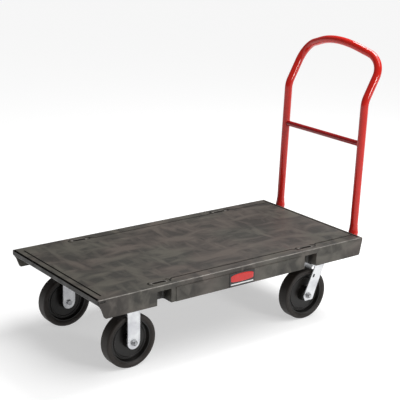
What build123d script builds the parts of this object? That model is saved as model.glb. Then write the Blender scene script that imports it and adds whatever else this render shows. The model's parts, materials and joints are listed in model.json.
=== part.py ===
from build123d import *
import os
from math import atan, cos, radians, sin, tan

# Platform cart: a moulded deck on two rigid and two swivel casters, with a lift-out tube handle.
# Millimetres. The floor is z = 0, +X points to the handle end, and the origin lies on the floor
# under the middle of the whole cart, so the deck's own middle is a little towards -X.

# ---------------------------------------------------------------- driving dimensions
deck_length = 1219.2        # 48 in
deck_width = 612.0          # 24 in nominal
deck_top = 312.0
deck_bottom = 240.0
deck_x = -67.0              # middle of the deck
front_lip = 5.0             # the front end's lip, beyond the deck's nominal length
skin = 8.0                  # thickness of the deck's top
wall = 7.0                  # thickness of the side skirts and end walls

wheel_radius = 101.6        # 8 in wheels
tread_width = 50.8
caster_x = 441.0            # rigid axles and kingpins, each way from the deck's middle
caster_y = 224.0
caster_height = deck_bottom
trail = 66.0                # swivel axle behind its kingpin

tube_radius = 15.875        # 1 1/4 in handle tube
tube_bore = 13.875
handle_gap = 27.2           # tube centre beyond the deck's end, at the deck's top
handle_half_width = 226.0
lean = radians(1.86)        # backward lean of the uprights
upper_lean = radians(29.1)  # lean above the knees

# ---------------------------------------------------------------- places worked out from them
front_x = deck_x - deck_length / 2 - front_lip
rear_x = deck_x + deck_length / 2
side_y = deck_width / 2
skin_z = deck_top - skin
rigid_x = deck_x - caster_x
kingpin_x = deck_x + caster_x
swivel_axle_x = kingpin_x - trail
axle_z = wheel_radius
handle_x = rear_x + handle_gap
sides = {"near": -1, "far": 1}
standing = (Align.CENTER, Align.CENTER, Align.MIN)
hanging = (Align.MIN, Align.CENTER, Align.MAX)


def save(part, name):
    part.label = name
    export_step(part, "parts/" + name + ".step")


os.makedirs("parts", exist_ok=True)

# ================================================================ deck
# The deck is one structural-foam moulding: skin, side skirts, end walls, ribs, caster bosses and
# four tie-down pockets, each with a slot through the top.
rear_slope = 12.0           # the rear end leans in by this much over the skirt's depth
edge_band = 12.0            # upright band along the top of the rear end
skirt_nose = 28.0           # set-back of the skirts' front lower corner
nose_height = 17.0          # upright part of the front end, below which the skirts slope back
front_wall = 18.0           # the front end wall is thick, and shallower than the skirts
front_wall_bottom = 289.0
front_corner_radius = 4.0
corner_radius = 14.0        # at the rear
crease_width = 6.0          # dark crease between the top and the front end's lip
crease_depth = 9.0
lip_drop = 4.0              # the lip's top lies below the deck's
pocket_places = [deck_x - 345, deck_x + 337]
pocket_width = 60.0
pocket_depth = 50.0
pocket_top = deck_top - 20
slot_length = 56.0
slot_width = 16.0
slot_y = side_y - 34
groove_width = 7.0
groove_depth = 3.0
tray_depth = 1.4            # shallow tray round each slot
rib = 5.0
rib_bottom = 290.0
rail_y = 120.0
screw_places = [deck_x + x for x in (-340, -115, 115, 340)]
hole_x = 46.0               # caster bolt pattern, half spacings
hole_y = 38.0
boss_radius = 13.0
insert_radius = 7.0
bolt_radius = 5.0
bolt_depth = 30.0           # reach of a caster bolt above the deck's bosses
pilot_radius = 2.5
screw_reach = 12.0
caster_places = [(rigid_x, s * caster_y) for s in (-1, 1)] + [(kingpin_x, s * caster_y) for s in (-1, 1)]

# The rear end face leans, and the handle brackets are bolted square to it.
end_tilt = atan(rear_slope / (deck_top - edge_band - deck_bottom))
bracket_z = 274.0
bracket_face_x = rear_x - (deck_top - edge_band - bracket_z) * tan(end_tilt)
bracket_bolt_y = 22.0
bracket_bolt_radius = 4.0


def end_plane(y):
    """Plane on the rear end face: local x runs along Y, and its normal points out of the deck."""
    return Plane(
        origin=(bracket_face_x, y, bracket_z), x_dir=(0, 1, 0), z_dir=(cos(end_tilt), 0, -sin(end_tilt))
    )


with BuildPart() as deck_shell:
    # Side outline, swept straight across the deck and trimmed to a plan with round corners.
    with BuildSketch(Plane.XZ):
        with BuildLine():
            Polyline(
                (front_x, deck_top),
                (rear_x, deck_top),
                (rear_x, deck_top - edge_band),
                (rear_x - rear_slope, deck_bottom),
                (front_x + skirt_nose, deck_bottom),
                (front_x + skirt_nose / 2, deck_bottom + 36),
                (front_x + 8, deck_bottom + 45),
                (front_x, deck_top - nose_height),
                close=True,
            )
        make_face()
    extrude(amount=side_y, both=True)
    low_corners = deck_shell.edges().filter_by(Axis.Y).group_by(Axis.Z)[0]
    fillet(low_corners, 9)
    with BuildSketch(Plane.XY.offset(deck_bottom)):
        with Locations(((front_x + rear_x) / 2, 0)):
            plan = Rectangle(rear_x - front_x, deck_width)
        corners = plan.vertices().sort_by(Axis.X)
        fillet(corners[:2], front_corner_radius)
        fillet(corners[2:], corner_radius)
    extrude(amount=deck_top - deck_bottom, mode=Mode.INTERSECT)
    fillet(deck_shell.edges().group_by(Axis.Z)[-1], 3.5)
    # The skirts stand proud below a band at the top, between the pockets.
    with BuildSketch(Plane.XY.offset(deck_bottom)):
        with Locations(((pocket_places[0] + pocket_places[1]) / 2, 0)):
            RectangleRounded(pocket_places[1] - pocket_places[0] - 2 * 50, deck_width + 5, 2)
    extrude(amount=53)
    # Hollow underside.
    with BuildSketch(Plane.XZ):
        with BuildLine():
            Polyline(
                (front_x + front_wall, skin_z),
                (rear_x - wall - 2, skin_z),
                (rear_x - wall - 2, deck_top - edge_band),
                (rear_x - wall - 2 - rear_slope, deck_bottom),
                (rear_x - wall - 2 - rear_slope, deck_bottom - 1),
                (front_x + front_wall, deck_bottom - 1),
                close=True,
            )
        make_face()
    extrude(amount=side_y - wall, both=True, mode=Mode.SUBTRACT)
    # The front end is open below its shallow wall, between the skirts.
    with Locations((front_x, 0, deck_bottom)):
        Box(80, 2 * (side_y - wall), 2 * (front_wall_bottom - deck_bottom), mode=Mode.SUBTRACT)
    # Ribs under the skin.
    inner_front = front_x + front_wall
    inner_rear = rear_x - wall - 6
    with BuildSketch(Plane.XY.offset(skin_z)):
        with Locations(*[((inner_front + inner_rear) / 2, y) for y in (-rail_y, 0, rail_y)]):
            Rectangle(inner_rear - inner_front, rib)
        with GridLocations((inner_rear - inner_front) / 8, 1, 7, 1):
            with Locations(((inner_front + inner_rear) / 2, 0)):
                Rectangle(rib, deck_width - wall)
    extrude(amount=rib_bottom - skin_z)
    # Screw bosses over the stiffening rails.
    with BuildSketch(Plane.XY.offset(skin_z)):
        with Locations(*[(x, y) for x in screw_places for y in (-rail_y, rail_y)]):
            Circle(9)
    extrude(amount=rib_bottom - skin_z)
    # Caster bosses, tied together by deep ribs that carry the caster plates.
    with BuildSketch(Plane.XY.offset(skin_z)):
        with Locations(*caster_places):
            with Locations((-hole_x, 0), (hole_x, 0)):
                Rectangle(7, 2 * hole_y)
            with Locations((0, -hole_y), (0, hole_y)):
                Rectangle(2 * hole_x, 7)
            with GridLocations(2 * hole_x, 2 * hole_y, 2, 2):
                Circle(boss_radius)
    extrude(amount=deck_bottom - skin_z)
    # Tie-down pockets: a walled box in each skirt, open outwards and downwards.
    for x in pocket_places:
        for side in (-1, 1):
            with BuildSketch(Plane.XY.offset(deck_bottom)):
                with Locations((x, side * (side_y - 1 - (pocket_depth + 6) / 2))):
                    Rectangle(pocket_width + 12, pocket_depth + 6)
            extrude(amount=skin_z - deck_bottom + 2)
            with BuildSketch(Plane.XY.offset(deck_bottom - 1)):
                with Locations((x, side * (side_y + 10 - (pocket_depth + 10) / 2))):
                    RectangleRounded(pocket_width, pocket_depth + 10, 9)
            extrude(amount=pocket_top - deck_bottom + 1, mode=Mode.SUBTRACT)
            with BuildSketch(Plane.XY.offset(deck_top)):
                with Locations((x, side * slot_y)):
                    SlotOverall(slot_length, slot_width)
            extrude(amount=pocket_top - deck_top - 2, mode=Mode.SUBTRACT)
    # Shallow grooves in the top: across the front end, along the rear end, between the slots, and a
    # curved one round each end of every slot. A shallow tray surrounds the slot itself.
    groove_y = side_y - 44
    with BuildSketch(Plane.XY.offset(deck_top)):
        with Locations((front_x + 31, 0)):
            Rectangle(groove_width, 2 * side_y - 66)
        with Locations((rear_x - 13, 0)):
            Rectangle(groove_width, 2 * side_y - 24)
        for side in (-1, 1):
            with BuildLine():
                Polyline(
                    (pocket_places[0] + 46, side * slot_y),
                    (pocket_places[0] + 60, side * groove_y),
                    (pocket_places[1] - 60, side * groove_y),
                    (pocket_places[1] - 46, side * slot_y),
                )
                offset(amount=groove_width / 2)
            make_face()
            with BuildLine():
                Polyline(
                    (pocket_places[1] + 46, side * slot_y),
                    (pocket_places[1] + 60, side * groove_y),
                    (rear_x - 22, side * groove_y),
                )
                offset(amount=groove_width / 2)
            make_face()
    extrude(amount=-groove_depth, mode=Mode.SUBTRACT)
    for x in pocket_places:
        for side in (-1, 1):
            with BuildSketch(Plane.XY.offset(deck_top)):
                with Locations((x, side * slot_y)):
                    SlotOverall(slot_length + 42, slot_width + 14)
                    SlotOverall(slot_length + 28, slot_width + 2, mode=Mode.SUBTRACT)
                    Rectangle(slot_length + 10, slot_width + 20, mode=Mode.SUBTRACT)
            extrude(amount=-groove_depth, mode=Mode.SUBTRACT)
            with BuildSketch(Plane.XY.offset(deck_top)):
                with Locations((x, side * slot_y)):
                    SlotOverall(slot_length + 14, slot_width + 10)
            extrude(amount=-tray_depth, mode=Mode.SUBTRACT)
    # A deep crease parts the front end's lip from the top, and a small recess marks each front corner.
    with Locations((front_x + 2, 0, deck_top)):
        Box(crease_width, 2 * (side_y - 7), crease_depth, align=hanging, mode=Mode.SUBTRACT)
    with Locations((front_x - 1, 0, deck_top)):
        Box(4, 2 * (side_y - 7), lip_drop, align=hanging, mode=Mode.SUBTRACT)
    for side in (-1, 1):
        with BuildSketch(Plane.XZ.offset(-side * side_y)):
            with Locations((front_x + 18, deck_top - 9)):
                SlotOverall(22, 8)
        extrude(amount=side * 2.5, mode=Mode.SUBTRACT)
    # Holes for the caster inserts, the rail screws and the bracket bolts.
    with BuildSketch(Plane.XY.offset(deck_bottom)):
        with Locations(*caster_places):
            with GridLocations(2 * hole_x, 2 * hole_y, 2, 2):
                Circle(insert_radius)
    extrude(amount=bolt_depth, mode=Mode.SUBTRACT)
    with BuildSketch(Plane.XY.offset(rib_bottom)):
        with Locations(*[(x, y) for x in screw_places for y in (-rail_y, rail_y)]):
            Circle(pilot_radius)
    extrude(amount=screw_reach, mode=Mode.SUBTRACT)
    for side in sides.values():
        with BuildSketch(end_plane(side * handle_half_width)):
            with Locations((-bracket_bolt_y, 0), (bracket_bolt_y, 0)):
                Circle(bracket_bolt_radius)
        extrude(amount=20, both=True, mode=Mode.SUBTRACT)
save(deck_shell.part, "deck_shell")

# ---------------------------------------------------------------- stiffening rails under the ribs
rail_width = 40.0
rail_height = 20.0
rail_length = 720.0
rail_wall = 2.0
inner_height = rail_height - 2 * rail_wall
rail_z = rib_bottom - rail_height / 2
cross_places = {"front": deck_x - 230, "rear": deck_x + 230}

for name, side in sides.items():
    with BuildPart() as stiffener_rail:
        with BuildSketch(Plane.YZ.offset(deck_x)):
            with Locations((side * rail_y, rail_z)):
                RectangleRounded(rail_width, rail_height, 3)
                RectangleRounded(rail_width - 2 * rail_wall, inner_height, 1.5, mode=Mode.SUBTRACT)
        extrude(amount=rail_length / 2, both=True)
        with BuildSketch(Plane.XY.offset(rib_bottom)):
            with Locations(*[(x, side * rail_y) for x in screw_places]):
                Circle(pilot_radius)
        extrude(amount=-rail_height, mode=Mode.SUBTRACT)
    save(stiffener_rail.part, "stiffener_rail_" + name)

for name, x in cross_places.items():
    with BuildPart() as cross_member:
        with BuildSketch(Plane.XZ):
            with Locations((x, rail_z)):
                RectangleRounded(rail_width, rail_height, 3)
                RectangleRounded(rail_width - 2 * rail_wall, inner_height, 1.5, mode=Mode.SUBTRACT)
        extrude(amount=rail_y - rail_width / 2, both=True)
    save(cross_member.part, "cross_member_" + name)

with BuildPart() as rail_screws:
    with Locations(*[(x, y, rib_bottom - rail_height) for x in screw_places for y in (-rail_y, rail_y)]):
        Cylinder(pilot_radius, rail_height + screw_reach, align=standing)
        Cylinder(5.5, 3.5, align=(Align.CENTER, Align.CENTER, Align.MAX))
    fillet(rail_screws.edges().filter_by(GeomType.CIRCLE).group_by(Axis.Z)[0], 1.5)
save(rail_screws.part, "rail_screws")

# ---------------------------------------------------------------- badge on the near skirt
badge_x = deck_x - 1.5
badge_z = 268.0
badge_face = side_y + 2.5
with BuildPart() as badge_plate:
    with BuildSketch(Plane.XZ.offset(badge_face)):
        with Locations((badge_x, badge_z)):
            RectangleRounded(116, 50, 2)
    extrude(amount=1.5)
save(badge_plate.part, "badge_plate")

with BuildPart() as badge_pillow:
    with BuildSketch(Plane(origin=(badge_x, -badge_face - 1.5, badge_z), x_dir=(1, 0, 0), z_dir=(0, -1, 0))):
        with BuildLine():
            ThreePointArc((-51, -8), (0, -11), (51, -8))
            ThreePointArc((51, -8), (52.5, 5), (51, 16))
            ThreePointArc((51, 16), (0, 21), (-51, 16))
            ThreePointArc((-51, 16), (-52.5, 5), (-51, -8))
        make_face()
    extrude(amount=1.2)
save(badge_pillow.part, "badge_pillow")

with BuildPart() as badge_strip:
    with BuildSketch(Plane.XZ.offset(badge_face + 1.5)):
        with Locations((badge_x, badge_z - 18)):
            Rectangle(104, 5)
    extrude(amount=0.6)
save(badge_strip.part, "badge_strip")

# ================================================================ casters
plate_length = 114.0
plate_width = 102.0
plate_thickness = 6.0
plate_bottom = caster_height - plate_thickness
leg_gap = 31.0              # half the clear gap between a fork's legs
leg_thickness = 5.0
leg_width = 51.0
axle_radius = 6.35          # 1/2 in axle bolts
sleeve_radius = 9.5
roller_radius = 3.05
roller_pitch = 12.65
hub_bore = 15.8
hub_radius = 25.0
hub_half = 29.5
running_gap = 0.08          # radial clearance of a part that turns on another


def bolt_holes(radius):
    """Caster plate holes, cut down through the plate from its top face at z = caster_height."""
    with BuildSketch(Plane.XY.offset(caster_height)) as holes:
        with Locations(*caster_places):
            with GridLocations(2 * hole_x, 2 * hole_y, 2, 2):
                Circle(radius)
    extrude(holes.sketch, amount=-plate_thickness, mode=Mode.SUBTRACT)


with BuildPart() as caster_inserts:
    for x, y in caster_places:
        with Locations((x, y, deck_bottom)):
            with GridLocations(2 * hole_x, 2 * hole_y, 2, 2):
                Cylinder(insert_radius, bolt_depth, align=standing)
                Cylinder(bolt_radius, bolt_depth, align=standing, mode=Mode.SUBTRACT)
save(caster_inserts.part, "caster_inserts")

with BuildPart() as caster_washers:
    with BuildSketch(Plane.XY.offset(plate_bottom)):
        with Locations(*caster_places):
            with GridLocations(2 * hole_x, 2 * hole_y, 2, 2):
                Circle(10)
                Circle(bolt_radius, mode=Mode.SUBTRACT)
    extrude(amount=-1.8)
save(caster_washers.part, "caster_washers")

with BuildPart() as caster_bolts:
    with BuildSketch(Plane.XY.offset(plate_bottom - 1.8)):
        with Locations(*caster_places):
            with GridLocations(2 * hole_x, 2 * hole_y, 2, 2):
                RegularPolygon(9.2, 6)
    extrude(amount=-6.4)
    with BuildSketch(Plane.XY.offset(plate_bottom - 1.8)):
        with Locations(*caster_places):
            with GridLocations(2 * hole_x, 2 * hole_y, 2, 2):
                Circle(bolt_radius)
    extrude(amount=1.8 + plate_thickness + bolt_depth - 2)
save(caster_bolts.part, "caster_bolts")


def axle_bolt_solid(x, y):
    """Axle bolt along Y: its hex head is on the inboard side, its thread ends past the nut."""
    out = -1 if y < 0 else 1
    head_plane = Plane(origin=(x, y - out * (leg_gap + leg_thickness), axle_z), z_dir=(0, -out, 0))
    with BuildSketch(head_plane) as head:
        RegularPolygon(11, 6)
    extrude(head.sketch, amount=8)
    with BuildSketch(head_plane) as shank:
        Circle(axle_radius)
    extrude(shank.sketch, amount=-(2 * (leg_gap + leg_thickness) + 15))


def axle_nut_solid(x, y):
    """Washer and lock nut on the outboard end of an axle bolt, as one crimped piece."""
    out = -1 if y < 0 else 1
    face = Plane(origin=(x, y + out * (leg_gap + leg_thickness), axle_z), z_dir=(0, out, 0))
    with BuildSketch(face) as washer:
        Circle(12.5)
        Circle(axle_radius, mode=Mode.SUBTRACT)
    extrude(washer.sketch, amount=2)
    with BuildSketch(face.offset(2)) as nut:
        RegularPolygon(11, 6)
        Circle(axle_radius, mode=Mode.SUBTRACT)
    extrude(nut.sketch, amount=10)


def sleeve_solid(x, y):
    """Spanner sleeve clamped between a fork's legs, which the wheel's rollers run on."""
    with BuildSketch(Plane(origin=(x, y, axle_z), z_dir=(0, 1, 0))) as sleeve:
        Circle(sleeve_radius)
        Circle(axle_radius, mode=Mode.SUBTRACT)
    extrude(sleeve.sketch, amount=leg_gap, both=True)


def axle_hole(x, y):
    """Axle holes through both legs of the fork at this place."""
    with BuildSketch(Plane(origin=(x, y, axle_z), z_dir=(0, 1, 0))) as hole:
        Circle(axle_radius)
    extrude(hole.sketch, amount=leg_gap + leg_thickness + 5, both=True, mode=Mode.SUBTRACT)


# Rigid casters: plate and two straight legs, pressed and welded as one fork.
for name, side in sides.items():
    y = side * caster_y
    with BuildPart() as rigid_fork:
        with BuildSketch(Plane.XY.offset(plate_bottom)):
            with Locations((rigid_x, y)):
                RectangleRounded(plate_length, plate_width, 8)
        extrude(amount=plate_thickness)
        for leg in (-1, 1):
            leg_face = y + leg * leg_gap
            with BuildSketch(Plane(origin=(rigid_x, leg_face, 0), x_dir=(1, 0, 0), z_dir=(0, -1, 0))):
                with Locations((0, (axle_z + plate_bottom) / 2)):
                    Rectangle(leg_width, plate_bottom - axle_z)
                with Locations((0, axle_z)):
                    Circle(leg_width / 2)
            extrude(amount=-leg * leg_thickness)
            # Rolled edges along both sides of the leg.
            for edge in (-1, 1):
                outer_face = leg_face + leg * leg_thickness
                with Locations((rigid_x + edge * (leg_width / 2 - 2), outer_face, axle_z)):
                    Box(4, 3, plate_bottom - axle_z, align=standing)
        axle_hole(rigid_x, y)
        bolt_holes(bolt_radius)
    save(rigid_fork.part, "rigid_fork_" + name)

with BuildPart() as rigid_axle_bolts:
    for side in sides.values():
        axle_bolt_solid(rigid_x, side * caster_y)
save(rigid_axle_bolts.part, "rigid_axle_bolts")

with BuildPart() as rigid_axle_nuts:
    for side in sides.values():
        axle_nut_solid(rigid_x, side * caster_y)
save(rigid_axle_nuts.part, "rigid_axle_nuts")

with BuildPart() as rigid_sleeves:
    for side in sides.values():
        sleeve_solid(rigid_x, side * caster_y)
save(rigid_sleeves.part, "rigid_sleeves")

# Swivel casters: a fixed top plate with its race, and a crown and fork that turn on balls.
kingpin_radius = 8.0
race_pitch = 31.0
ball_radius = 4.75
ball_z = 223.5
race_bottom = 224.5
crown_top = 222.5
crown_thickness = 6.0
crown_half = 48.0           # from the kingpin to the crown's front edge
crown_round = 44.0          # the crown is round at the back
leg_slant = 65.0            # degrees from level, of the swivel fork's legs
crown_lip = 205.0           # bottom of the crown's turned-down front edge
seal_inner = 39.5
seal_outer = 43.0

for name, side in sides.items():
    y = side * caster_y
    centre = Plane(origin=(kingpin_x, y, 0))
    ball_track = Plane(origin=(kingpin_x, y, 0), x_dir=(1, 0, 0), z_dir=(0, -1, 0))
    with BuildPart() as swivel_plate:
        with BuildSketch(centre.offset(plate_bottom)):
            RectangleRounded(plate_length, plate_width, 8)
        extrude(amount=plate_thickness)
        with BuildSketch(centre.offset(race_bottom)):
            Circle(38.5)
            Circle(22, mode=Mode.SUBTRACT)
        extrude(amount=plate_bottom - race_bottom)
        with BuildSketch(ball_track):
            with Locations((race_pitch, ball_z)):
                Circle(ball_radius + 0.05)
        revolve(axis=Axis((kingpin_x, y, 0), (0, 0, 1)), mode=Mode.SUBTRACT)
        with BuildSketch(centre.offset(caster_height)):
            Circle(kingpin_radius)
        extrude(amount=-plate_thickness, mode=Mode.SUBTRACT)
        bolt_holes(bolt_radius)
    save(swivel_plate.part, "swivel_plate_" + name)

    with BuildPart() as race_seal:
        with BuildSketch(centre.offset(crown_top + 0.8)):
            Circle(seal_outer)
            Circle(seal_inner, mode=Mode.SUBTRACT)
        extrude(amount=plate_bottom - crown_top - 0.8)
        with BuildSketch(centre.offset(plate_bottom)):
            Circle(seal_inner)
            Circle(38.5, mode=Mode.SUBTRACT)
        extrude(amount=-3)
    save(race_seal.part, "race_seal_" + name)

    # The legs slant back from the crown to the trailing axle, with cut corners at the bottom.
    with BuildPart() as swivel_fork:
        with BuildSketch(centre.offset(crown_top)):
            with Locations((-crown_half / 2, 0)):
                Rectangle(crown_half, 2 * (leg_gap + leg_thickness))
            Circle(crown_round)
            Rectangle(2 * crown_half, 2 * (leg_gap + leg_thickness), mode=Mode.INTERSECT)
        extrude(amount=-crown_thickness)
        with BuildSketch(centre.offset(crown_top)):
            with Locations((-crown_half + 2, 0)):
                Rectangle(4, 2 * (leg_gap + leg_thickness) - 12)
        extrude(amount=crown_lip - crown_top)
        for leg in (-1, 1):
            leg_origin = (swivel_axle_x, y + leg * leg_gap, axle_z)
            leg_plane = Plane(origin=leg_origin, x_dir=(1, 0, 0), z_dir=(0, -1, 0))
            with BuildSketch(leg_plane):
                with BuildLine():
                    Polyline(
                        (-22, -2),
                        (-13, -21),
                        (25, -21),
                        (39, 17),
                        (81, crown_top - axle_z - 2),
                        (34, crown_top - axle_z - 2),
                        close=True,
                    )
                make_face()
                fillet(vertices(), 4)
            extrude(amount=-leg * leg_thickness)
            with BuildSketch(leg_plane):
                with Locations((26, 76)):
                    SlotOverall(15, 9, rotation=leg_slant)
            extrude(amount=leg_thickness, both=True, mode=Mode.SUBTRACT)
        with BuildSketch(ball_track):
            with Locations((race_pitch, ball_z)):
                Circle(ball_radius + 0.05)
        revolve(axis=Axis((kingpin_x, y, 0), (0, 0, 1)), mode=Mode.SUBTRACT)
        with BuildSketch(centre.offset(crown_top)):
            Circle(kingpin_radius + running_gap)
        extrude(amount=-crown_thickness - 1, mode=Mode.SUBTRACT)
        axle_hole(swivel_axle_x, y)
    save(swivel_fork.part, "swivel_fork_" + name)

    with BuildPart() as swivel_axle_bolt:
        axle_bolt_solid(swivel_axle_x, y)
    save(swivel_axle_bolt.part, "swivel_axle_bolt_" + name)

    with BuildPart() as swivel_axle_nut:
        axle_nut_solid(swivel_axle_x, y)
    save(swivel_axle_nut.part, "swivel_axle_nut_" + name)

    with BuildPart() as swivel_sleeve:
        sleeve_solid(swivel_axle_x, y)
    save(swivel_sleeve.part, "swivel_sleeve_" + name)

kingpin_places = [(kingpin_x, side * caster_y) for side in sides.values()]
kingpin_bottom = 198.0

with BuildPart() as kingpins:
    with Locations(*[(x, y, kingpin_bottom) for x, y in kingpin_places]):
        Cylinder(kingpin_radius, caster_height - kingpin_bottom, align=standing)
save(kingpins.part, "kingpins")

with BuildPart() as kingpin_nuts:
    with BuildSketch(Plane.XY.offset(crown_top - crown_thickness - 0.3)):
        with Locations(*kingpin_places):
            Circle(16)
            Circle(kingpin_radius, mode=Mode.SUBTRACT)
    extrude(amount=-3)
    with BuildSketch(Plane.XY.offset(crown_top - crown_thickness - 3.3)):
        with Locations(*kingpin_places):
            RegularPolygon(14, 6)
            Circle(kingpin_radius, mode=Mode.SUBTRACT)
    extrude(amount=-13)
save(kingpin_nuts.part, "kingpin_nuts")

with BuildPart() as swivel_balls:
    for x, y in kingpin_places:
        with Locations((x, y, ball_z)):
            with PolarLocations(race_pitch, 18):
                Sphere(ball_radius)
save(swivel_balls.part, "swivel_balls")

# ================================================================ wheels
# Each wheel: a moulded core, a solid tread bonded round it, and a roller bearing in its hub.
core_radius = 88.0
core_rim_half = 20.0
core_web_half = 8.0
tread_half = tread_width / 2
roller_half = 26.0
# (radius, distance from the middle plane) along one side of the core, with a low ridge on its web
core_outline = [
    (hub_bore, hub_half),
    (hub_radius, hub_half),
    (hub_radius + 4, core_web_half),
    (61, core_web_half),
    (63, core_web_half + 2.5),
    (66, core_web_half + 2.5),
    (68, core_web_half),
    (72, core_web_half),
    (77, core_rim_half),
    (core_radius, core_rim_half),
]
wheel_places = {
    "rigid_near": (rigid_x, -caster_y),
    "rigid_far": (rigid_x, caster_y),
    "swivel_near": (swivel_axle_x, -caster_y),
    "swivel_far": (swivel_axle_x, caster_y),
}

for name, (x, y) in wheel_places.items():
    spin_axis = Axis((x, y, axle_z), (0, 1, 0))
    section = Plane(origin=(x, y, axle_z), x_dir=(0, 0, 1), z_dir=(1, 0, 0))
    with BuildPart() as wheel_core:
        # Half section: local x is the radius (upwards), local y runs along the axle.
        with BuildSketch(section):
            with BuildLine():
                Polyline(
                    *[(radius, -half) for radius, half in core_outline],
                    *[(radius, half) for radius, half in reversed(core_outline)],
                    close=True,
                )
            make_face()
        revolve(axis=spin_axis)
    save(wheel_core.part, "wheel_core_" + name)

    with BuildPart() as wheel_tread:
        with BuildSketch(section):
            with BuildLine():
                Polyline(
                    (core_radius, -core_rim_half),
                    (core_radius - 7, -core_rim_half),
                    (core_radius - 5, -core_rim_half - 2),
                    (wheel_radius - 13, -tread_half),
                    (wheel_radius - 8, -tread_half),
                )
                ThreePointArc(
                    (wheel_radius - 8, -tread_half),
                    (wheel_radius - 2.3, -tread_half + 2.3),
                    (wheel_radius, -tread_half + 8),
                )
                Line((wheel_radius, -tread_half + 8), (wheel_radius, tread_half - 8))
                ThreePointArc(
                    (wheel_radius, tread_half - 8),
                    (wheel_radius - 2.3, tread_half - 2.3),
                    (wheel_radius - 8, tread_half),
                )
                Polyline(
                    (wheel_radius - 8, tread_half),
                    (wheel_radius - 13, tread_half),
                    (core_radius - 5, core_rim_half + 2),
                    (core_radius - 7, core_rim_half),
                    (core_radius, core_rim_half),
                    (core_radius, -core_rim_half),
                )
            make_face()
        revolve(axis=spin_axis)
    save(wheel_tread.part, "wheel_tread_" + name)

    with BuildPart() as wheel_bearing:
        roller_plane = Plane(origin=(x, y, axle_z), z_dir=(0, 1, 0))
        with BuildSketch(roller_plane):
            with PolarLocations(roller_pitch, 12):
                Circle(roller_radius)
        extrude(amount=roller_half, both=True)
        for end in (-1, 1):
            with BuildSketch(Plane(origin=(x, y + end * (roller_half + 0.2), axle_z), z_dir=(0, end, 0))):
                Circle(hub_bore)
                Circle(sleeve_radius + running_gap, mode=Mode.SUBTRACT)
            extrude(amount=hub_half - roller_half)
    save(wheel_bearing.part, "wheel_bearing_" + name)

# ================================================================ handle
# The uprights stand in two steel sockets bolted to the deck's end, and lean back a little. Above
# the knees the tube leans back more, and the top rail arches up and a little forward again.
crossbar_z = 668.0
crossbar_radius = 11.1
knee_z = 837.0
knee_x = handle_x + (knee_z - deck_top) * tan(lean)
shoulder_reach = 178.0      # along the leaning part, from the knee to the shoulder corner
shoulder_x = knee_x + shoulder_reach * sin(upper_lean)
shoulder_z = knee_z + shoulder_reach * cos(upper_lean)
crown_x = shoulder_x - 42.0
crown_z = shoulder_z + 70.0
knee_bend = 85.0
shoulder_bend = 84.0
crown_bend = 314.0
socket_mouth = deck_top - 9
socket_radius = 19.05
socket_bottom = 256.0
tube_bottom = socket_bottom + 6
stop_gap = 0.3              # between a handle collar and its socket's mouth
collar_radius = 20.0        # the collars flare out towards the deck
collar_height = 32.0


def upright_x(z):
    """X of the uprights' centre line at height z, below the knees."""
    return handle_x + (z - deck_top) * tan(lean)


def upright_plane(y, z):
    """Plane square to an upright, centred on it."""
    return Plane(origin=(upright_x(z), y, z), x_dir=(0, 1, 0), z_dir=(sin(lean), 0, cos(lean)))


with BuildPart() as handle_tube:
    with BuildLine():
        FilletPolyline(
            (upright_x(tube_bottom), -handle_half_width, tube_bottom),
            (knee_x, -handle_half_width, knee_z),
            (shoulder_x, -handle_half_width, shoulder_z),
            (crown_x, 0, crown_z),
            (shoulder_x, handle_half_width, shoulder_z),
            (knee_x, handle_half_width, knee_z),
            (upright_x(tube_bottom), handle_half_width, tube_bottom),
            radius=[knee_bend, shoulder_bend, crown_bend, shoulder_bend, knee_bend],
        )
    with BuildSketch(upright_plane(-handle_half_width, tube_bottom)):
        Circle(tube_radius)
        Circle(tube_bore, mode=Mode.SUBTRACT)
    sweep()
save(handle_tube.part, "handle_tube")

with BuildPart() as handle_crossbar:
    with BuildSketch(Plane(origin=(upright_x(crossbar_z), 0, crossbar_z), z_dir=(0, 1, 0))):
        Circle(crossbar_radius)
        Circle(crossbar_radius - 1.6, mode=Mode.SUBTRACT)
    extrude(amount=handle_half_width, both=True)
    for side in sides.values():
        with BuildSketch(upright_plane(side * handle_half_width, crossbar_z)):
            Circle(tube_radius)
        extrude(amount=60, both=True, mode=Mode.SUBTRACT)
save(handle_crossbar.part, "handle_crossbar")

with BuildPart() as handle_collars:
    for side in sides.values():
        seat = upright_plane(side * handle_half_width, socket_mouth + stop_gap)
        with BuildSketch(Plane(origin=seat.origin, x_dir=seat.x_dir, z_dir=-seat.y_dir)):
            with BuildLine():
                Polyline(
                    (tube_radius + 0.9, collar_height),
                    (tube_radius, collar_height),
                    (tube_radius, 0),
                    (collar_radius, 0),
                    (collar_radius, 5),
                )
                ThreePointArc(
                    (collar_radius, 5),
                    (tube_radius + 1.8, collar_height * 0.6),
                    (tube_radius + 0.9, collar_height),
                )
            make_face()
        revolve(axis=Axis(seat.origin, seat.z_dir))
save(handle_collars.part, "handle_collars")

with BuildPart() as handle_plugs:
    for side in sides.values():
        with BuildSketch(upright_plane(side * handle_half_width, tube_bottom)):
            Circle(tube_bore)
        extrude(amount=12)
        with BuildSketch(upright_plane(side * handle_half_width, tube_bottom)):
            Circle(tube_radius - 0.5)
        extrude(amount=-2)
save(handle_plugs.part, "handle_plugs")

# Sockets and their brackets stay on the deck when the handle is lifted out.
bracket_thickness = 4.0
bracket_half_width = 34.0
web_half = 6.0

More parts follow.
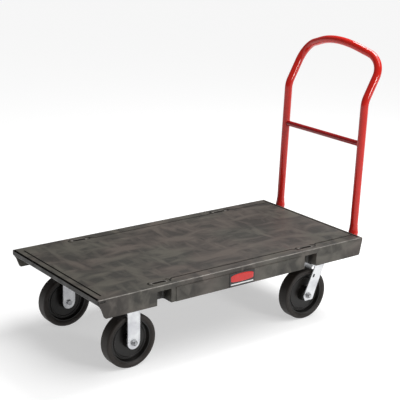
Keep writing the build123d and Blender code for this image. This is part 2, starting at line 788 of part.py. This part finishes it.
for name, side in sides.items():
    y = side * handle_half_width
    with BuildPart() as handle_socket:
        with BuildSketch(upright_plane(y, socket_bottom)):
            Circle(socket_radius)
        extrude(amount=socket_mouth - socket_bottom)
        with BuildSketch(upright_plane(y, socket_bottom + 3)):
            Circle(tube_radius + running_gap)
        extrude(amount=socket_mouth - socket_bottom, mode=Mode.SUBTRACT)
    save(handle_socket.part, "handle_socket_" + name)

    with BuildPart() as socket_bracket:
        with BuildSketch(end_plane(y)):
            RectangleRounded(2 * bracket_half_width, 44, 5)
        extrude(amount=bracket_thickness)
        with BuildSketch(end_plane(y).offset(bracket_thickness)):
            Rectangle(2 * web_half, 40)
        extrude(amount=upright_x(bracket_z) - bracket_face_x)
        with BuildSketch(upright_plane(y, socket_bottom - 20)):
            Circle(socket_radius)
        extrude(amount=120, mode=Mode.SUBTRACT)
        socket_bracket.part = Part(socket_bracket.part.solids().sort_by(Axis.X)[0].wrapped)
        with BuildSketch(end_plane(y)):
            with Locations((-bracket_bolt_y, 0), (bracket_bolt_y, 0)):
                Circle(bracket_bolt_radius)
        extrude(amount=bracket_thickness, mode=Mode.SUBTRACT)
    save(socket_bracket.part, "socket_bracket_" + name)

end_wall = (wall + 2) * cos(end_tilt)


def bracket_places():
    """Planes at the four bracket bolts, on the deck's end face."""
    return [
        end_plane(side * handle_half_width + shift)
        for side in sides.values()
        for shift in (-bracket_bolt_y, bracket_bolt_y)
    ]


with BuildPart() as bracket_bolts:
    for place in bracket_places():
        with BuildSketch(place.offset(bracket_thickness)):
            RegularPolygon(7.5, 6)
        extrude(amount=5.3)
        with BuildSketch(place.offset(bracket_thickness)):
            Circle(bracket_bolt_radius)
        extrude(amount=-(bracket_thickness + end_wall + 12))
save(bracket_bolts.part, "bracket_bolts")

with BuildPart() as bracket_nuts:
    for place in bracket_places():
        with BuildSketch(place.offset(-end_wall)):
            Circle(9)
            Circle(bracket_bolt_radius, mode=Mode.SUBTRACT)
        extrude(amount=-1.6)
        with BuildSketch(place.offset(-end_wall - 1.6)):
            RegularPolygon(7.5, 6)
            Circle(bracket_bolt_radius, mode=Mode.SUBTRACT)
        extrude(amount=-6.5)
save(bracket_nuts.part, "bracket_nuts")
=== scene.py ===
import json
import math

import bpy
from mathutils import Matrix, Vector


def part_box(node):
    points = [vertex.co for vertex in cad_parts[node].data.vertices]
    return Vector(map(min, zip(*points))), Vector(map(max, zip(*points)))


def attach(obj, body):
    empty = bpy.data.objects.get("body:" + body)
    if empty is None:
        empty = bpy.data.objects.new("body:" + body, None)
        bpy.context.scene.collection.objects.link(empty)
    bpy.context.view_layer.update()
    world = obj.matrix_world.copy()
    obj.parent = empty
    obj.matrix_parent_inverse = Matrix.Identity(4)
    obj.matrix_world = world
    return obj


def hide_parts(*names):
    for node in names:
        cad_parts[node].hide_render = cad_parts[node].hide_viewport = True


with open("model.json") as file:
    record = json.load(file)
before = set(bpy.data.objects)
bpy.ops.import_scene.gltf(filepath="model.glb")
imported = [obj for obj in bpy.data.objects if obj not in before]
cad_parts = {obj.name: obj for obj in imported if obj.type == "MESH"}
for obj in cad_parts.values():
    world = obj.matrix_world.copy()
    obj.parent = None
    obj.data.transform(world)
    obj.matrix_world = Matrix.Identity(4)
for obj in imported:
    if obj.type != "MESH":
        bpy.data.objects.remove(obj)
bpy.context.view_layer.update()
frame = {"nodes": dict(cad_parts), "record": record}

NODES = frame["nodes"]


# ---------------------------------------------------------------- camera, light and floor
def add_camera():
    """The photograph's viewpoint: a long lens, a little above the deck, from the front left."""
    low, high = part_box("deck_shell")
    along, across, above = 0.0205, -0.016, 0.175  # from the middle of the deck's top
    aim = Vector(((low.x + high.x) / 2 + along, across, high.z + above))
    azimuth, elevation, roll = (math.radians(a) for a in (-36.958, 16.781, 1.363))
    distance = 4.25
    back = Vector(
        (
            math.sin(azimuth) * math.cos(elevation),
            -math.cos(azimuth) * math.cos(elevation),
            math.sin(elevation),
        )
    )
    level_right = Vector((0, 0, 1)).cross(back).normalized()
    level_up = back.cross(level_right)
    right = level_right * math.cos(roll) + level_up * math.sin(roll)
    up = level_up * math.cos(roll) - level_right * math.sin(roll)
    data = bpy.data.cameras.new("camera")
    data.sensor_width = 36.0
    data.lens = 100.4
    data.clip_end = 100.0
    camera = bpy.data.objects.new("camera", data)
    bpy.context.scene.collection.objects.link(camera)
    axes = Matrix((right, up, back)).transposed()
    camera.matrix_world = Matrix.Translation(aim + back * distance) @ axes.to_4x4()
    bpy.context.scene.camera = camera


def add_area_light(name, place, aim, width, height, power):
    """A softbox at a place, facing a point."""
    data = bpy.data.lights.new(name, "AREA")
    data.shape = "RECTANGLE"
    data.size = width
    data.size_y = height
    data.energy = power
    light = bpy.data.objects.new(name, data)
    light.location = place
    light.rotation_mode = "QUATERNION"
    light.rotation_quaternion = (Vector(aim) - Vector(place)).to_track_quat("-Z", "Y")
    bpy.context.scene.collection.objects.link(light)


def add_sun(power, direction, angle):
    """Even, very soft light that comes from the given direction, over an angle in degrees."""
    data = bpy.data.lights.new("sun", "SUN")
    data.energy = power
    data.angle = math.radians(angle)
    light = bpy.data.objects.new("sun", data)
    light.rotation_mode = "QUATERNION"
    light.rotation_quaternion = Vector(direction).to_track_quat("Z", "Y")
    bpy.context.scene.collection.objects.link(light)


def add_studio():
    """White floor, dim surroundings, soft light from above, a softbox overhead and one in front."""
    scene = bpy.context.scene
    scene.view_settings.view_transform = "Standard"
    world = bpy.data.worlds.new("studio")
    world.use_nodes = True
    background = world.node_tree.nodes["Background"]
    background.inputs["Color"].default_value = (1, 1, 1, 1)
    background.inputs["Strength"].default_value = 0.18
    scene.world = world
    add_sun(2.1, (0.45, -0.5, 1.35), 50)
    add_area_light("overhead", (1.6, 0.2, 2.6), (0.3, 0, 0.4), 1.2, 1.2, 60)
    add_area_light("front", (0.7, -3.7, 1.7), (0.63, 0, 0.9), 0.9, 0.5, 42)
    mesh = bpy.data.meshes.new("floor")
    half = 40.0
    corners = [(-half, -half, 0), (half, -half, 0), (half, half, 0), (-half, half, 0)]
    mesh.from_pydata(corners, [], [(0, 1, 2, 3)])
    floor = bpy.data.objects.new("floor", mesh)
    scene.collection.objects.link(floor)
    floor.data.materials.append(floor_material())


# ---------------------------------------------------------------- material building
def new_material(name, color, roughness, metallic=0.0):
    """A Principled material. Returns the material, its node tree and the shader."""
    material = bpy.data.materials.new(name)
    material.use_nodes = True
    tree = material.node_tree
    shader = tree.nodes["Principled BSDF"]
    shader.inputs["Base Color"].default_value = (*color, 1)
    shader.inputs["Roughness"].default_value = roughness
    shader.inputs["Metallic"].default_value = metallic
    return material, tree, shader


def object_coordinates(tree, scale=(1, 1, 1)):
    """Object coordinates in metres, stretched by scale."""
    coordinates = tree.nodes.new("ShaderNodeTexCoord")
    mapping = tree.nodes.new("ShaderNodeMapping")
    mapping.inputs["Scale"].default_value = scale
    tree.links.new(coordinates.outputs["Object"], mapping.inputs["Vector"])
    return mapping.outputs["Vector"]


def noise(tree, vector, scale, detail=3.0, roughness=0.5, distortion=0.0):
    """Noise from 0 to 1, mostly near 0.5."""
    node = tree.nodes.new("ShaderNodeTexNoise")
    node.inputs["Scale"].default_value = scale
    node.inputs["Detail"].default_value = detail
    node.inputs["Roughness"].default_value = roughness
    node.inputs["Distortion"].default_value = distortion
    tree.links.new(vector, node.inputs["Vector"])
    return node.outputs["Fac"]


def spread(tree, value, low, high, out_low=0, out_high=1):
    """Maps a value's range to another range, clamped at its ends."""
    node = tree.nodes.new("ShaderNodeMapRange")
    node.inputs["From Min"].default_value = low
    node.inputs["From Max"].default_value = high
    node.inputs["To Min"].default_value = out_low
    node.inputs["To Max"].default_value = out_high
    tree.links.new(value, node.inputs["Value"])
    return node.outputs["Result"]


def math_node(tree, operation, first, second=0):
    """One Math node; each operand is an output or a number."""
    node = tree.nodes.new("ShaderNodeMath")
    node.operation = operation
    for socket, operand in zip(node.inputs, (first, second)):
        if isinstance(operand, (int, float)):
            socket.default_value = operand
        else:
            tree.links.new(operand, socket)
    return node.outputs["Value"]


def product(tree, *factors):
    """All the factors multiplied together."""
    result = factors[0]
    for factor in factors[1:]:
        result = math_node(tree, "MULTIPLY", result, factor)
    return result


def band(tree, value, start, full, fade, end):
    """1 between full and fade, falling to 0 at start and at end."""
    return product(tree, spread(tree, value, start, full), spread(tree, value, fade, end, 1, 0))


def mix_colors(tree, factor, first, second):
    """Mixes two colours, each an output or a tuple, by a factor output."""
    node = tree.nodes.new("ShaderNodeMix")
    node.data_type = "RGBA"
    for socket, color in (("A", first), ("B", second)):
        if isinstance(color, tuple):
            node.inputs[socket].default_value = (*color, 1)
        else:
            tree.links.new(color, node.inputs[socket])
    tree.links.new(factor, node.inputs["Factor"])
    return node.outputs["Result"]


def bump(tree, height, distance, strength=1.0, normal=None):
    """A bump normal, on top of another one if given."""
    node = tree.nodes.new("ShaderNodeBump")
    node.inputs["Strength"].default_value = strength
    node.inputs["Distance"].default_value = distance
    tree.links.new(height, node.inputs["Height"])
    if normal is not None:
        tree.links.new(normal, node.inputs["Normal"])
    return node.outputs["Normal"]


def floor_material():
    """Plain white studio floor with a little light of its own."""
    material, tree, shader = new_material("studio floor", (0.55, 0.55, 0.55), 0.9)
    shader.inputs["Specular IOR Level"].default_value = 0.1
    shader.inputs["Emission Color"].default_value = (1, 1, 1, 1)
    shader.inputs["Emission Strength"].default_value = 0.5
    return material


# ---------------------------------------------------------------- the deck's plastic
def deck_tone(tree):
    """Cloudy strokes of warm and cool grey. Returns the colour and the strokes."""
    along = noise(tree, object_coordinates(tree, (1.0, 2.6, 2.0)), 6.5, 3.0, 0.5, 0.5)
    across = noise(tree, object_coordinates(tree, (3.0, 1.0, 2.0)), 7.5, 3.0, 0.5, 0.4)
    strokes = math_node(
        tree, "MAXIMUM", spread(tree, along, 0.43, 0.64), spread(tree, across, 0.45, 0.66, 0, 0.9)
    )
    fine = noise(tree, object_coordinates(tree), 45.0, 4.0, 0.6)
    tone = math_node(tree, "ADD", product(tree, strokes, 0.75), product(tree, fine, 0.3))
    tint = noise(tree, object_coordinates(tree), 4.0, 2.0)
    warm = mix_colors(tree, tone, (0.016, 0.0125, 0.01), (0.094, 0.077, 0.065))
    cool = mix_colors(tree, tone, (0.0155, 0.014, 0.011), (0.086, 0.079, 0.064))
    return mix_colors(tree, spread(tree, tint, 0.42, 0.58), warm, cool), strokes


def deck_distances(tree):
    """Distances in metres from the deck's front end, its nearer side, its nearest edge and its top."""
    axes = tree.nodes.new("ShaderNodeSeparateXYZ")
    tree.links.new(object_coordinates(tree), axes.inputs["Vector"])
    low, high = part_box("deck_shell")
    half_length = (high.x - low.x) / 2
    half_width = 0.306  # of the top, inside the part of the skirts that stands proud
    off_middle = math_node(tree, "SUBTRACT", axes.outputs["X"], (low.x + high.x) / 2)
    from_end = math_node(tree, "SUBTRACT", half_length, math_node(tree, "ABSOLUTE", off_middle))
    from_side = math_node(tree, "SUBTRACT", half_width, math_node(tree, "ABSOLUTE", axes.outputs["Y"]))
    inset = math_node(tree, "MINIMUM", from_end, from_side)
    depth = math_node(tree, "SUBTRACT", high.z, axes.outputs["Z"])
    from_front = math_node(tree, "SUBTRACT", axes.outputs["X"], low.x)
    return from_front, from_side, inset, depth


def deck_material():
    """Dull moulded foam plastic: strokes of tone, fine stipple, painted shade in each groove and recess,
    and a painted highlight along the side edges.
    """
    material, tree, shader = new_material("moulded deck", (0.05, 0.045, 0.04), 0.5)
    color, strokes = deck_tone(tree)
    from_front, from_side, inset, depth = deck_distances(tree)
    # Painted shade: each groove, the creased step behind the front edge and the corner recesses are
    # darkened where shade falls.
    inside = spread(tree, inset, 0.0045, 0.006)
    groove_shade = product(tree, band(tree, depth, 0.0016, 0.0024, 0.004, 0.006), inside)
    crease_shade = product(
        tree,
        band(tree, depth, 0.0006, 0.002, 0.0095, 0.011),
        band(tree, from_front, 0.0015, 0.0028, 0.009, 0.0105),
        spread(tree, from_side, 0.004, 0.0065),
    )
    recess_shade = product(
        tree,
        band(tree, depth, 0.004, 0.005, 0.013, 0.014),
        band(tree, from_front, 0.005, 0.007, 0.029, 0.031),
        spread(tree, from_side, 0.0008, 0.002),
        0.7,
    )
    painted_line_shade = math_node(tree, "MAXIMUM", groove_shade, math_node(tree, "MAXIMUM", crease_shade, recess_shade))
    # Painted shade darkens the front edge's rim and the hollow inside, and a painted highlight lightens
    # the shallow recess round each slot.
    lip_shade = product(
        tree, spread(tree, depth, 0.003, 0.0045, 0, 0.9), spread(tree, from_front, 0.0015, 0.009, 1, 0)
    )
    inside_shade = product(tree, spread(tree, depth, 0.004, 0.012), spread(tree, inset, 0.012, 0.03), 0.8)
    # Painted highlight on the shallow recess round each slot.
    tray_highlight = product(tree, band(tree, depth, 0.0008, 0.0013, 0.0015, 0.0019), inside)
    # Painted highlight: the top's edges along the sides are lightened in blotches.
    highlight_patches = noise(tree, object_coordinates(tree), 30.0, 4.0, 0.7)
    edge_highlight = product(
        tree,
        spread(tree, from_side, 0.0026, 0.0008),
        spread(tree, depth, 0.0034, 0.002),
        spread(tree, highlight_patches, 0.35, 0.6, 0.2, 1),
    )
    # The painted shade and painted highlights are mixed into the tone here.
    color = mix_colors(tree, lip_shade, color, (0.011, 0.0095, 0.0085))
    color = mix_colors(tree, tray_highlight, color, (0.13, 0.12, 0.11))
    color = mix_colors(tree, painted_line_shade, color, (0.007, 0.006, 0.005))
    color = mix_colors(tree, inside_shade, color, (0.008, 0.007, 0.006))
    color = mix_colors(tree, edge_highlight, color, (0.24, 0.22, 0.2))
    tree.links.new(color, shader.inputs["Base Color"])
    tree.links.new(spread(tree, strokes, 0.0, 1.0, 0.6, 0.44), shader.inputs["Roughness"])
    swell = bump(tree, noise(tree, object_coordinates(tree, (1, 1.5, 1)), 14.0, 2.0), 0.0015, 0.5)
    stipple = bump(tree, noise(tree, object_coordinates(tree), 700.0, 2.0), 0.00012, 0.6, swell)
    tree.links.new(stipple, shader.inputs["Normal"])
    return material


# ---------------------------------------------------------------- the other materials
def red_material(name, dark, light):
    """Glossy powder coat with a faint orange peel."""
    material, tree, shader = new_material(name, dark, 0.25)
    shader.inputs["Specular IOR Level"].default_value = 0.05
    shader.inputs["Coat Weight"].default_value = 0.75
    shader.inputs["Coat Roughness"].default_value = 0.06
    place = object_coordinates(tree)
    color = mix_colors(tree, noise(tree, place, 40.0, 3.0), dark, light)
    tree.links.new(color, shader.inputs["Base Color"])
    orange_peel = noise(tree, place, 450.0, 2.0)
    tree.links.new(bump(tree, orange_peel, 0.0001, 0.3), shader.inputs["Normal"])
    return material


def zinc_material(name, tone, roughness):
    """Bright zinc plate: broad bluish clouds and fine grain."""
    material, tree, shader = new_material(name, (tone, tone, tone), roughness, 0.85)
    place = object_coordinates(tree)
    broad = noise(tree, place, 22.0, 2.0, 0.5, 0.3)
    cloud = noise(tree, place, 90.0, 4.0, 0.6)
    blend = math_node(tree, "ADD", product(tree, broad, 0.7), product(tree, cloud, 0.3))
    dark = (tone * 0.84, tone * 0.85, tone * 0.89)
    light = (tone * 1.1, tone * 1.12, tone * 1.14)
    color = mix_colors(tree, spread(tree, blend, 0.4, 0.6), dark, light)
    tree.links.new(color, shader.inputs["Base Color"])
    gloss = spread(tree, cloud, 0.3, 0.7, roughness - 0.08, roughness + 0.1)
    tree.links.new(gloss, shader.inputs["Roughness"])
    grain = noise(tree, place, 350.0, 3.0)
    tree.links.new(bump(tree, grain, 0.0001, 0.35), shader.inputs["Normal"])
    return material


def cloudy_material(name, dark, light, roughness, grain_scale, specular=0.5):
    """Rubber, plastic, print or brass with a soft cloud of tone and a fine grain."""
    material, tree, shader = new_material(name, dark, roughness)
    shader.inputs["Specular IOR Level"].default_value = specular
    place = object_coordinates(tree)
    cloud = noise(tree, place, 25.0, 4.0, 0.6)
    color = mix_colors(tree, spread(tree, cloud, 0.3, 0.7), dark, light)
    tree.links.new(color, shader.inputs["Base Color"])
    grain = noise(tree, place, grain_scale, 2.0)
    tree.links.new(bump(tree, grain, 0.0001, 0.5), shader.inputs["Normal"])
    return material


# Slot: darkest and lightest colour, roughness, scale of the grain, specular level.
CLOUDY_SLOTS = {
    "insert_brass": ((0.42, 0.28, 0.1), (0.5, 0.36, 0.14), 0.35, 300.0, 0.5),
    "frame_steel": ((0.018, 0.018, 0.018), (0.026, 0.026, 0.026), 0.4, 300.0, 0.5),
    "black_plastic": ((0.015, 0.015, 0.015), (0.022, 0.022, 0.022), 0.45, 500.0, 0.5),
    "seal_rubber": ((0.015, 0.015, 0.015), (0.02, 0.02, 0.02), 0.6, 500.0, 0.5),
    "badge_black": ((0.008, 0.008, 0.008), (0.012, 0.012, 0.012), 0.3, 200.0, 0.5),
    "badge_red": ((0.48, 0.014, 0.012), (0.54, 0.02, 0.017), 0.25, 200.0, 0.5),
    "badge_white": ((0.6, 0.6, 0.6), (0.7, 0.7, 0.7), 0.4, 200.0, 0.5),
    "wheel_core": ((0.004, 0.0035, 0.003), (0.009, 0.008, 0.007), 0.35, 400.0, 0.35),
    "wheel_tread": ((0.014, 0.011, 0.009), (0.023, 0.018, 0.015), 0.5, 500.0, 0.3),
}


def set_material(node, material):
    """Makes this the only material of a CAD node."""
    materials = NODES[node].data.materials
    materials.clear()
    materials.append(material)


def paint_nodes():
    """Gives every CAD node the material of its record slot, and returns the materials by slot."""
    made = {
        "deck_plastic": deck_material(),
        "red_paint": red_material("red paint", (0.5, 0.011, 0.006), (0.6, 0.018, 0.01)),
        "zinc_plate": zinc_material("zinc plate", 0.66, 0.42),
        "zinc_fastener": zinc_material("zinc fastener", 0.4, 0.32),
        "bearing_steel": zinc_material("bearing steel", 0.6, 0.2),
    }
    for slot, look in CLOUDY_SLOTS.items():
        made[slot] = cloudy_material(slot.replace("_", " "), *look)
    for part in frame["record"]["subparts"]:
        set_material(part["node"], made[part["material_slot"]])
    # Painted shade: the crossbar gets a darker copy of the red paint for the shade it lies in.
    crossbar_shade_red = red_material("red paint crossbar shade", (0.26, 0.004, 0.005), (0.32, 0.007, 0.008))
    set_material("handle_crossbar", crossbar_shade_red)
    return made


# ---------------------------------------------------------------- pieces with more detail than the CAD
def add_piece(name, vertices, faces, material, body, slot, replaced=()):
    """A mesh in the frame's coordinates that rides on a body. Faces that turn sharply stay crisp."""
    mesh = bpy.data.meshes.new(name)
    mesh.from_pydata([tuple(vertex) for vertex in vertices], [], faces)
    mesh.shade_smooth()
    mesh.set_sharp_from_angle(angle=math.radians(38))
    mesh.materials.append(material)
    piece = bpy.data.objects.new(name, mesh)
    bpy.context.scene.collection.objects.link(piece)
    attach(piece, body)
    if replaced:
        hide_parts(*replaced)


def turned_mesh(start, axis, rings, sides=72):
    """A closed solid from rings of (distance along the axis, radius or function of the angle)."""
    axis = Vector(axis).normalized()
    across = axis.orthogonal().normalized()
    upward = axis.cross(across)
    vertices = []
    for distance, radius in rings:
        for step in range(sides):
            angle = 2 * math.pi * step / sides
            reach = radius(angle) if callable(radius) else radius
            arm = across * math.cos(angle) + upward * math.sin(angle)
            vertices.append(Vector(start) + axis * distance + arm * reach)
    faces = []
    for ring in range(len(rings) - 1):
        for step in range(sides):
            first, second = ring * sides + step, ring * sides + (step + 1) % sides
            faces.append((first, second, second + sides, first + sides))
    faces.append(tuple(reversed(range(sides))))
    faces.append(tuple(range(len(vertices) - sides, len(vertices))))
    return vertices, faces


def joined(*meshes):
    """Several (vertices, faces) pairs as one."""
    vertices, faces = [], []
    for more_vertices, more_faces in meshes:
        shift = len(vertices)
        vertices += more_vertices
        faces += [tuple(index + shift for index in face) for face in more_faces]
    return vertices, faces


HEX_CORNER = 0.011  # from the middle to a corner of the nuts and bolt heads
BOLT_RADIUS = 0.00635
BOLT_LENGTH = 0.095
NUT_SEAT = 0.015  # the nut's washer sits this far from the bolt's tip


def hexagon(cone_radius):
    """Radius of a nut's hexagon at an angle, cut to a circle where its corners are chamfered."""
    flat = HEX_CORNER * math.cos(math.pi / 6)

    def radius(angle):
        from_flat = (angle + math.pi / 6) % (math.pi / 3) - math.pi / 6
        return min(flat / math.cos(from_flat), cone_radius)

    return radius


def lock_nut(place, axis):
    """Washer and lock nut: chamfered hexagon under a rounded collar."""
    washer = [(0, 0.0122), (0.0003, 0.0125), (0.0017, 0.0125), (0.002, 0.0122)]
    cones = [(0.002, 0.0102), (0.0026, 0.0112), (0.0084, 0.0112), (0.009, 0.0101)]
    body = [(distance, hexagon(cone)) for distance, cone in cones]
    collar = [(0.0091, 0.0091), (0.011, 0.0088), (0.0117, 0.0082), (0.0118, 0.0078), (0.0118, 0.0064)]
    return turned_mesh(place, axis, washer + body + collar)


def nylon_ring(place, axis):
    """The dark ring in a lock nut's collar."""
    return turned_mesh(place, axis, [(0.011, 0.0079), (0.0119, 0.0079), (0.012, 0.0076), (0.012, 0.0063)])


def axle_bolt(place, axis):
    """Chamfered head, plain shank and a threaded end."""
    corner = hexagon(0.0112)
    head = [(0.0004, 0.0074), (0, 0.0078), (0, hexagon(0.0094)), (0.0009, corner), (0.0076, corner)]
    head += [(0.008, hexagon(0.0106))]
    shank = [(0.008, BOLT_RADIUS), (0.078, BOLT_RADIUS)]
    thread_root, pitch = 0.0058, 0.00125
    thread = []
    for turn in range(12):
        thread += [(0.0795 + pitch * turn, thread_root), (0.0801 + pitch * turn, BOLT_RADIUS)]
    tip = [(0.0945, thread_root), (BOLT_LENGTH, 0.0051)]
    return turned_mesh(place, axis, head + shank + thread + tip)


def add_axle_hardware(made):
    """Bolts, lock nuts and their nylon rings, in place of the plain CAD ones."""
    sets = {
        "rigid": ("deck", "rigid_axle_bolts", "rigid_axle_nuts", (-1, 1)),
        "swivel_near": ("swivel_near", "swivel_axle_bolt_near", "swivel_axle_nut_near", (-1,)),
        "swivel_far": ("swivel_far", "swivel_axle_bolt_far", "swivel_axle_nut_far", (1,)),
    }
    zinc = made["zinc_fastener"]
    nylon = cloudy_material("nylon ring", (0.012, 0.012, 0.014), (0.02, 0.02, 0.024), 0.4, 600.0)
    for name, (body, bolt_node, nut_node, ends) in sets.items():
        low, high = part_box(bolt_node)
        x, z = (low.x + high.x) / 2, (low.z + high.z) / 2
        bolts, nuts, rings = [], [], []
        for end in ends:
            tip = high.y if end > 0 else low.y
            axis = (0, end, 0)
            seat = (x, tip - end * NUT_SEAT, z)
            bolts.append(axle_bolt((x, tip - end * BOLT_LENGTH, z), axis))
            nuts.append(lock_nut(seat, axis))
            rings.append(nylon_ring(seat, axis))
        add_piece(name + "_bolt_detail", *joined(*bolts), zinc, body, "zinc_fastener", [bolt_node])
        add_piece(name + "_nut_detail", *joined(*nuts), zinc, body, "zinc_fastener", [nut_node])
        add_piece(name + "_nylon_detail", *joined(*rings), nylon, body, "black_plastic")


def bead_mesh(path, centre, radius):
    """A rippled weld bead round a closed path, whose points all face away from the centre."""
    count, sides = len(path), 10
    vertices = []
    for index, point in enumerate(path):
        along = (path[(index + 1) % count] - path[index - 1]).normalized()
        outward = (point - centre).normalized()
        across = along.cross(outward).normalized()
        outward = across.cross(along)
        reach = radius * (1 + 0.14 * math.sin(index * math.pi / 3))
        for step in range(sides):
            angle = 2 * math.pi * step / sides
            arm = outward * math.cos(angle) + across * math.sin(angle)
            vertices.append(point + arm * reach)
    faces = []
    for index in range(count):
        here, there = index * sides, (index + 1) % count * sides
        for step in range(sides):
            following = (step + 1) % sides
            faces.append((here + step, there + step, there + following, here + following))
    return vertices, faces


def add_crossbar_welds(made):
    """A weld bead where each end of the crossbar meets its upright."""
    low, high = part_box("handle_crossbar")
    x, z = (low.x + high.x) / 2, (low.z + high.z) / 2
    bar_reach, tube_reach, upright_y, bead_radius, steps = 0.0117, 0.0161, 0.226, 0.002, 96
    beads = []
    for side in (-1, 1):
        path = []
        for step in range(steps):
            angle = 2 * math.pi * step / steps
            reach = bar_reach * math.cos(angle)
            y = side * (upright_y - math.sqrt(tube_reach * tube_reach - reach * reach))
            path.append(Vector((x + reach, y, z + bar_reach * math.sin(angle))))
        beads.append(bead_mesh(path, Vector((x, side * upright_y, z)), bead_radius))
    add_piece("crossbar_welds", *joined(*beads), made["red_paint"], "handle", "red_paint")


def add_badge_dome(made):
    """A domed red pillow with soft edges, in place of the flat CAD one.

    Its ends are 24 mm high, and its top edge bulges by 5 mm and its bottom edge by 3 mm in the middle."""
    low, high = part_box("badge_pillow")
    x, z, back = (low.x + high.x) / 2, (low.z + high.z) / 2, high.y
    half_x, thick = (high.x - low.x) / 2, high.y - low.y
    columns, rows = 56, 28
    vertices, faces = [], []
    for row in range(rows + 1):
        v = 2 * row / rows - 1
        for column in range(columns + 1):
            u = 2 * column / columns - 1
            # The corners draw in a little.
            ease_u = u * math.sqrt(1 - 0.1 * v**8)
            ease_v = v * math.sqrt(1 - 0.22 * u**8)
            height = 0.012 * ease_v - 0.001 + (0.001 + 0.004 * v) * (1 - u * u)
            dome = (1 - abs(u) ** 10) * (1 - abs(v) ** 6)
            proud = thick * (0.12 + 0.86 * dome**0.5)
            vertices.append((x + half_x * ease_u, back - proud, z + height))
    stride = columns + 1
    for row in range(rows):
        for column in range(columns):
            first = row * stride + column
            faces.append((first, first + 1, first + stride + 1, first + stride))
    border = list(range(columns)) + [row * stride + columns for row in range(rows)]
    border += [rows * stride + column for column in range(columns, 0, -1)]
    border += [row * stride for row in range(rows, 0, -1)]
    base = len(vertices)
    vertices += [(vertices[i][0], back, vertices[i][2]) for i in border]
    for index, corner in enumerate(border):
        following = (index + 1) % len(border)
        faces.append((border[following], corner, base + index, base + following))
    faces.append(tuple(base + index for index in range(len(border))))
    add_piece("badge_dome", vertices, faces, made["badge_red"], "deck", "badge_red", ["badge_pillow"])


def soften_edges(nodes, width):
    """Rounds the hard edges of these CAD nodes for the light to catch."""
    for node in nodes:
        weld = NODES[node].modifiers.new("weld", "WELD")
        weld.merge_threshold = 0.00001
        bevel = NODES[node].modifiers.new("bevel", "BEVEL")
        bevel.width = width
        bevel.segments = 2
        bevel.limit_method = "ANGLE"
        bevel.angle_limit = math.radians(50)


add_camera()
add_studio()
materials_by_slot = paint_nodes()
add_axle_hardware(materials_by_slot)
add_crossbar_welds(materials_by_slot)
add_badge_dome(materials_by_slot)
forks = [f"{kind}_fork_{side}" for kind in ("rigid", "swivel") for side in ("near", "far")]
soften_edges(forks, 0.0008)
